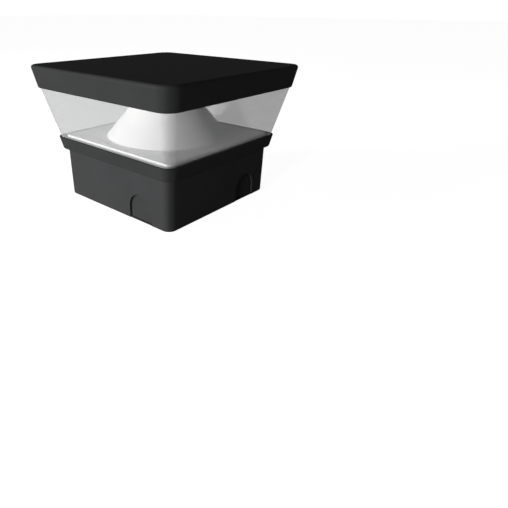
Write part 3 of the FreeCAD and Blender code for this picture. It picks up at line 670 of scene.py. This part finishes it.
class POSTLIGHT_OT_base(bpy.types.Operator):
    """Builds the base housing: skirt, deck with its opening, screw bosses and cable slots"""

    bl_idname = "post_light.base"
    bl_label = "Base housing"

    def execute(self, context):
        s = context.scene.post_light_base
        bm = square_block(0.0, s.deck, s.skirt, s.skirt_top, s.corner)
        rounded(bm, level_edges(bm, 0.0), s.rim_round, steps=3)
        under, over = s.deck_under - PAST, s.deck + PAST
        cuts = [
            square_block(-PAST, s.deck_under, s.socket, s.socket, s.socket_corner, steps=8),
            square_block(under, over, s.opening, s.opening, s.opening_corner, steps=8),
        ]
        outside, inside = -s.skirt - PAST, -s.socket + PAST
        wide = s.slot + s.plug_lap
        for turn in (left_in_front, turned_to_side):
            slot = arch(s.slot_place, s.slot_centre, s.slot, -PAST, outside, inside)
            room = arch(s.slot_place, s.slot_centre, wide, -PAST, -s.plug_step, -s.socket + TINY)
            cuts += [turn(slot), turn(room)]
        bm = worked(bm, cuts)
        places = four_spots(s.boss_place)
        bosses = [rod(x, y, s.boss_foot, s.deck_under + BITE, s.boss) for x, y in places]
        bm = worked(bm, bosses, "UNION")
        low = s.boss_foot - PAST
        holes = [rod(x, y, low, over, s.screw_hole, steps=32) for x, y in places]
        sink = s.deck - (s.screw_sink - s.screw_hole)
        mouth = s.screw_sink + SINK_PAST
        sinks = [
            rod(x, y, sink, s.deck + SINK_PAST, s.screw_hole, mouth, steps=32) for x, y in places
        ]
        bm = worked(bm, holes + sinks)
        piece(bm, "Base_housing", [black_coat(context)], "base", ["base_housing"])
        return {"FINISHED"}


class POSTLIGHT_OT_plugs(bpy.types.Operator):
    """Builds the two arched plugs that close the cable slots"""

    bl_idname = "post_light.plugs"
    bl_label = "Cable slot plugs"

    def execute(self, context):
        s = context.scene.post_light_base
        wide = s.slot + s.plug_lap - s.plug_fit
        narrow = s.slot - s.plug_fit
        foot = s.plug_fit
        for name, body, turn in (
            ("front_slot_plug", "front_plug", left_in_front),
            ("side_slot_plug", "side_plug", turned_to_side),
        ):
            plate = arch(s.slot_place, s.slot_centre, wide, foot, -s.plug_back, -s.plug_step)
            root = -s.plug_step + OVERLAP
            nose = arch(s.slot_place, s.slot_centre, narrow, foot, root, -s.plug_face)
            rounded(nose, facing_edges(nose, -s.plug_face), s.plug_round, steps=2)
            toe = bmesh.new()
            depth = s.toe_face - s.plug_face + OVERLAP
            middle = (s.slot_place, -s.toe_face + depth / 2, foot + s.toe_height / 2)
            size = Matrix.Diagonal((2 * narrow, depth, s.toe_height, 1))
            bmesh.ops.create_cube(toe, size=1.0, matrix=Matrix.Translation(middle) @ size)
            rounded(toe, facing_edges(toe, -s.toe_face), s.toe_round, steps=2)
            bm = turn(joined(joined(plate, nose), toe))
            piece(bm, name.capitalize(), [black_moulding(context)], body, [name])
        return {"FINISHED"}


class POSTLIGHT_OT_collar(bpy.types.Operator):
    """Builds the flared collar tray that carries the lens and the reflector"""

    bl_idname = "post_light.collar"
    bl_label = "Collar tray"

    def execute(self, context):
        s = context.scene.post_light_head
        base = context.scene.post_light_base
        bm = square_block(s.collar_foot, s.collar_top, s.collar, s.collar_wide, s.collar_corner)
        rounded(bm, level_edges(bm, s.collar_foot), s.collar_round, steps=5)
        rounded(bm, level_edges(bm, s.collar_top), s.collar_crisp, steps=3)
        mouth = lens_room(s, s.collar_top)
        seat = lens_room(s, s.seat)
        ledge = reach(level_face(bm, s.collar_top))
        stepped(bm, s.collar_top, ledge - mouth, s.seat, seat)
        stepped(bm, s.seat, seat - s.plateau_half, s.plateau, s.plateau_half)
        under = reach(level_face(bm, s.collar_foot))
        stepped(bm, s.collar_foot, under - s.spigot_room, base.deck, s.spigot_room)
        bm = worked(bm, [
            square_block(base.deck - PAST, s.pocket_top, s.pocket, s.pocket, base.corner, steps=8),
            rod(0, 0, s.pocket_top - PAST, s.plateau + PAST, s.tube_hole),
        ])
        piece(bm, "Collar_tray", [head_coat_with_painted_shade(context)], "head", ["collar_tray"])
        return {"FINISHED"}


class POSTLIGHT_OT_lens(bpy.types.Operator):
    """Builds the clear square lens"""

    bl_idname = "post_light.lens"
    bl_label = "Lens"

    def execute(self, context):
        s = context.scene.post_light_head
        bm = square_block(s.lens_foot, s.lens_top, s.lens, s.lens_wide, s.lens_corner, steps=14)
        ends = [level_face(bm, s.lens_foot), level_face(bm, s.lens_top)]
        bmesh.ops.inset_region(bm, faces=ends, thickness=s.lens_wall, use_even_offset=True)
        ends = [level_face_inside(bm, s.lens_foot), level_face_inside(bm, s.lens_top)]
        loops = [e for f in ends for e in f.edges]
        bmesh.ops.delete(bm, geom=ends, context="FACES_ONLY")
        for face in bmesh.ops.bridge_loops(bm, edges=loops)["faces"]:
            face.material_index = 1
        faces = [clear_lens(context), lens_inside(context)]
        lens = piece(bm, "Lens", faces, "head", ["lens"])
        lens.visible_shadow = False
        return {"FINISHED"}


class POSTLIGHT_OT_reflector(bpy.types.Operator):
    """Builds the white floor and the white cone inside the lens"""

    bl_idname = "post_light.reflector"
    bl_label = "Reflector"

    def execute(self, context):
        s = context.scene.post_light_head
        half = s.plateau_half
        bm = square_block(s.plateau, s.floor, half, half, s.lens_corner - s.lens_wall, steps=8)
        rounded(bm, level_edges(bm, s.floor), s.plate_round, steps=3)
        bm = worked(bm, [rod(0, 0, s.plateau - PAST, s.floor + PAST, s.tube_hole)])
        white = white_reflector(context)
        piece(bm, "Reflector_plate", [white], "head", ["reflector_plate"])

        rise = s.plate_under - s.floor
        lean = math.atan((s.cone - s.cone_top) / rise)
        sideways = s.cone_wall / math.cos(lean)
        profile = [
            (s.cone - sideways, s.floor),
            (s.cone, s.floor),
            (s.cone_top, s.plate_under),
            (s.tube_hole, s.plate_under),
            (s.tube_hole, s.plate_under - s.cone_wall),
            (s.cone_top + s.cone_wall * math.tan(lean) - sideways, s.plate_under - s.cone_wall),
        ]
        bm = bmesh.new()
        verts = [bm.verts.new((r, 0.0, z)) for r, z in profile]
        edges = [bm.edges.new(ends) for ends in zip(verts, verts[1:] + verts[:1])]
        bmesh.ops.spin(
            bm,
            geom=verts + edges,
            cent=(0, 0, 0),
            axis=(0, 0, 1),
            angle=math.tau,
            steps=128,
            use_merge=True,
        )
        piece(bm, "Reflector_cone", [white], "head", ["reflector_cone"])
        return {"FINISHED"}


class POSTLIGHT_OT_cap(bpy.types.Operator):
    """Builds the flared top cap with its hollow and screw bosses"""

    bl_idname = "post_light.cap"
    bl_label = "Top cap"

    def execute(self, context):
        s = context.scene.post_light_head
        bm = square_block(s.cap_foot, s.cap_top, s.cap, s.cap_wide, s.cap_corner, steps=16)
        rounded(bm, level_edges(bm, s.cap_top), s.cap_round, steps=7)
        rounded(bm, level_edges(bm, s.cap_foot), s.cap_crisp, steps=4)
        seat = lens_room(s, s.shoulder)
        lip = reach(level_face(bm, s.cap_foot)) - lens_room(s, s.cap_foot)
        stepped(bm, s.cap_foot, lip, s.shoulder, seat)
        stepped(bm, s.shoulder, seat - s.hollow, s.hollow_top, s.hollow_wide)
        for x, y in four_spots(s.cap_boss_place):
            joined(bm, rod(x, y, s.cap_boss_foot, s.hollow_top, s.cap_boss, steps=32))
        piece(bm, "Top_cap", [head_coat_with_painted_shade(context)], "head", ["top_cap"])
        return {"FINISHED"}


class POSTLIGHT_OT_leds(bpy.types.Operator):
    """Builds the LEDs on their ring and finishes the board, the thermal pad and the heat plate"""

    bl_idname = "post_light.leds"
    bl_label = "LED ring"

    def execute(self, context):
        s = context.scene.post_light_head
        thick = s.led_back - s.led_face
        middle = Matrix.Translation((s.led_ring, 0, (s.led_face + s.led_back) / 2))
        size = Matrix.Diagonal((s.led_side, s.led_side, thick, 1))
        bm = bmesh.new()
        for i in range(LED_COUNT):
            turn = Matrix.Rotation(math.tau * i / LED_COUNT, 4, "Z")
            made = bmesh.ops.create_cube(bm, size=1.0, matrix=turn @ middle @ size)["verts"]
            faces = {f for v in made for f in v.link_faces}
            window = min(faces, key=lambda f: f.calc_center_median().z)
            bmesh.ops.inset_region(
                bm, faces=[window], thickness=s.led_rim, use_even_offset=True
            )
            bmesh.ops.inset_region(
                bm, faces=[window], thickness=s.led_dish, depth=-s.led_dish, use_even_offset=True
            )
            window.material_index = 1
        looks = [finish("LED package"), finish("LED phosphor")]
        piece(bm, "Led_chips", looks, "head", ["led_chips"])
        dressed("White board mask", "led_board")
        dressed("Thermal pad", "thermal_pad")
        dressed("Milled aluminium", "heat_plate")
        return {"FINISHED"}


class POSTLIGHT_OT_seals(bpy.types.Operator):
    """Finishes the gaskets"""

    bl_idname = "post_light.seals"
    bl_label = "Gaskets"

    def execute(self, context):
        dressed("Silicone", "lower_gasket", "upper_gasket")
        return {"FINISHED"}


class POSTLIGHT_OT_driver(bpy.types.Operator):
    """Finishes the driver board and the parts on it"""

    bl_idname = "post_light.driver"
    bl_label = "Driver"

    def execute(self, context):
        dressed("Green board mask", "driver_board")
        dressed("Chip moulding", "driver_chips")
        dressed("Ferrite", "driver_inductor")
        dressed("Capacitor moulding", "driver_capacitors")
        dressed("Brass", "board_link_pins")
        dressed("White nylon", "driver_stand_offs")
        return {"FINISHED"}


class POSTLIGHT_OT_fixings(bpy.types.Operator):
    """Finishes the centre tube, nuts, washer, screws and springs"""

    bl_idname = "post_light.fixings"
    bl_label = "Fixings"

    def execute(self, context):
        dressed(
            "Zinc plate",
            "cap_screws",
            "led_board_screws",
            "driver_screws",
            "terminal_fixing_screw",
            "spring_screws",
            "tube_top_nut",
            "tube_bottom_nut",
            "tube_bottom_washer",
            "centre_tube",
        )
        dressed("Spring steel", "retaining_springs")
        return {"FINISHED"}


class POSTLIGHT_OT_wiring(bpy.types.Operator):
    """Finishes the terminal block, the bush and the leads"""

    bl_idname = "post_light.wiring"
    bl_label = "Wiring"

    def execute(self, context):
        dressed("White nylon", "terminal_block", "tube_bush")
        dressed("Brass", "terminal_sleeves", "terminal_screws")
        dressed("Red insulation", "red_lead")
        dressed("Black insulation", "black_lead")
        return {"FINISHED"}


# ---------------------------------------------------------------- stage


def seen_directly(tree):
    """A mask that is 1 for rays from the camera and for mirrored and transmitted rays."""
    path = node(tree, "ShaderNodeLightPath")
    either = node(tree, "ShaderNodeMath", operation="MAXIMUM")
    any_of = node(tree, "ShaderNodeMath", operation="MAXIMUM")
    tree.links.new(path.outputs["Is Camera Ray"], either.inputs[0])
    tree.links.new(path.outputs["Is Glossy Ray"], either.inputs[1])
    tree.links.new(either.outputs["Value"], any_of.inputs[0])
    tree.links.new(path.outputs["Is Transmission Ray"], any_of.inputs[1])
    return any_of.outputs["Value"]


def white_floor(context):
    """Pale floor that is nearly white to the camera and keeps the shadow."""
    made = bpy.data.materials.new("Pale floor")
    made.use_nodes = True
    tree = made.node_tree
    tree.nodes.clear()
    out = node(tree, "ShaderNodeOutputMaterial")
    add = node(tree, "ShaderNodeAddShader")
    matt = node(tree, "ShaderNodeBsdfDiffuse")
    matt.inputs["Color"].default_value = rgba(context.scene.post_light_colours.floor)
    glow = node(tree, "ShaderNodeEmission")
    strength = node(tree, "ShaderNodeMath", operation="MULTIPLY")
    strength.inputs[1].default_value = FLOOR_GLOW
    tree.links.new(seen_directly(tree), strength.inputs[0])
    tree.links.new(strength.outputs["Value"], glow.inputs["Strength"])
    tree.links.new(matt.outputs["BSDF"], add.inputs[0])
    tree.links.new(glow.outputs["Emission"], add.inputs[1])
    tree.links.new(add.outputs["Shader"], out.inputs["Surface"])
    return made


def soft_light(name, place, side, power):
    """Square area light aimed at the middle of the object."""
    data = bpy.data.lights.new(name, "AREA")
    data.size = side
    data.energy = power
    lamp = bpy.data.objects.new(name, data)
    lamp.location = place
    aim = Vector(LIGHTS_AIM) - Vector(place)
    lamp.rotation_euler = aim.to_track_quat("-Z", "Y").to_euler()
    bpy.context.scene.collection.objects.link(lamp)


class POSTLIGHT_OT_stage(bpy.types.Operator):
    """Sets up the pale floor, the soft light and the camera at the photograph's angle"""

    bl_idname = "post_light.stage"
    bl_label = "Stage"

    def execute(self, context):
        scene = context.scene
        s = scene.post_light_stage
        bm = bmesh.new()
        bmesh.ops.create_grid(bm, x_segments=1, y_segments=1, size=FLOOR_HALF)
        bmesh.ops.translate(bm, vec=(0, 0, -FLOOR_DROP), verts=list(bm.verts))
        mesh = bpy.data.meshes.new("Floor")
        bm.to_mesh(mesh)
        bm.free()
        mesh.materials.append(white_floor(context))
        floor = bpy.data.objects.new("Floor", mesh)
        scene.collection.objects.link(floor)

        world = bpy.data.worlds.new("White surroundings")
        world.use_nodes = True
        scene.world = world
        tree = world.node_tree
        sky = tree.nodes["Background"]
        sky.inputs["Color"].default_value = (1, 1, 1, 1)
        level = node(tree, "ShaderNodeMapRange", To_Min=s.surround, To_Max=1.0)
        tree.links.new(seen_directly(tree), level.inputs["Value"])
        tree.links.new(level.outputs["Result"], sky.inputs["Strength"])

        soft_light("Key", KEY_PLACE, KEY_SIDE, s.key_power)
        soft_light("Edge", EDGE_PLACE, EDGE_SIDE, s.edge_power)

        data = bpy.data.cameras.new("Camera")
        data.sensor_width = SENSOR_WIDTH
        data.lens = FOCAL_PIXELS / IMAGE_PIXELS * SENSOR_WIDTH
        data.shift_x = s.shift_x
        data.shift_y = s.shift_y
        data.clip_start = CLIP_START
        camera = bpy.data.objects.new("Camera", data)
        scene.collection.objects.link(camera)
        back = Vector((
            math.sin(s.azimuth) * math.cos(s.elevation),
            -math.cos(s.azimuth) * math.cos(s.elevation),
            math.sin(s.elevation),
        ))
        aimed = back.to_track_quat("Z", "Y").to_matrix().to_4x4()
        # Shift sets the light off the middle of the picture, and a small turn does the rest.
        turn = Matrix.Rotation(-s.yaw, 4, "Y") @ Matrix.Rotation(-s.pitch, 4, "X")
        roll = Matrix.Rotation(s.roll, 4, "Z")
        stand = Matrix.Translation(Vector((0, 0, s.aim)) + back * s.distance)
        camera.matrix_world = stand @ aimed @ roll @ turn
        scene.camera = camera
        scene.view_settings.view_transform = "Standard"
        return {"FINISHED"}


# ---------------------------------------------------------------- panel and registration

OPERATORS = (
    POSTLIGHT_OT_base,
    POSTLIGHT_OT_plugs,
    POSTLIGHT_OT_collar,
    POSTLIGHT_OT_lens,
    POSTLIGHT_OT_reflector,
    POSTLIGHT_OT_cap,
    POSTLIGHT_OT_leds,
    POSTLIGHT_OT_seals,
    POSTLIGHT_OT_driver,
    POSTLIGHT_OT_fixings,
    POSTLIGHT_OT_wiring,
    POSTLIGHT_OT_stage,
)

SETTINGS = {
    "post_light_base": PostLightBaseSizes,
    "post_light_head": PostLightHeadSizes,
    "post_light_colours": PostLightColours,
    "post_light_stage": PostLightStage,
}


class POSTLIGHT_PT_panel(bpy.types.Panel):
    """Lists the steps that build the light, and their settings"""

    bl_idname = "POSTLIGHT_PT_panel"
    bl_label = "Deck post cap light"
    bl_space_type = "VIEW_3D"
    bl_region_type = "UI"
    bl_category = "Post light"

    def draw(self, context):
        layout = self.layout
        for operator in OPERATORS:
            layout.operator(operator.bl_idname)
        for name, group in SETTINGS.items():
            box = layout.box()
            box.label(text=group.__doc__)
            settings = getattr(context.scene, name)
            for prop in settings.bl_rna.properties:
                if not prop.is_readonly and prop.identifier != "name":
                    box.prop(settings, prop.identifier)


def register():
    """Registers the settings, the operators and the panel."""
    for name, group in SETTINGS.items():
        bpy.utils.register_class(group)
        setattr(bpy.types.Scene, name, bpy.props.PointerProperty(type=group))
    for cls in OPERATORS + (POSTLIGHT_PT_panel,):
        bpy.utils.register_class(cls)


def unregister():
    """Takes back what register did."""
    for cls in reversed(OPERATORS + (POSTLIGHT_PT_panel,)):
        bpy.utils.unregister_class(cls)
    for name, group in reversed(SETTINGS.items()):
        delattr(bpy.types.Scene, name)
        bpy.utils.unregister_class(group)


def main():
    """Builds the light."""
    register()
    for operator in OPERATORS:
        family, action = operator.bl_idname.split(".")
        getattr(getattr(bpy.ops, family), action)()


if __name__ == "__main__":
    main()
